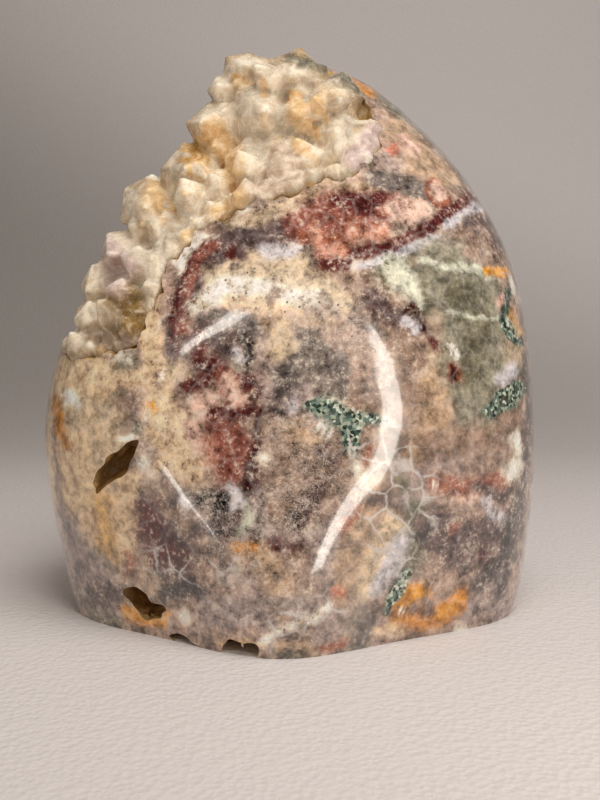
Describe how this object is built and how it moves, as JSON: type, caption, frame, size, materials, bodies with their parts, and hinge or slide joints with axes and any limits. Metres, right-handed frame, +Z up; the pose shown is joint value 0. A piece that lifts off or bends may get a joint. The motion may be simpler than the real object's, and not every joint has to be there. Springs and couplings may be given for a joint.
{
  "type": "polished crystal freeform",
  "caption": "Free-standing polished amethyst and quartz stone with a crystal-lined hollow in its upper left shoulder and a sawn flat base",
  "frame": {"origin": "in the sawn base, under the stone's middle: Z = 0 is the surface it stands on", "axes": "+Z up; +X to the right as seen by a viewer who faces the polished face; +Y away from that viewer, so the polished face looks along -Y"},
  "size_m": [0.0869, 0.0576, 0.0968],
  "materials": {
    "polished_quartz": "polished, translucent, mottled rose, lilac, maroon, cream and olive",
    "quartz_crystals": "natural crystal faces, cream to honey, partly clear"
  },
  "bodies": {
    "root": {"polished_stone": "polished_quartz", "crystal_crust": "quartz_crystals"}
  },
  "joints": []
}
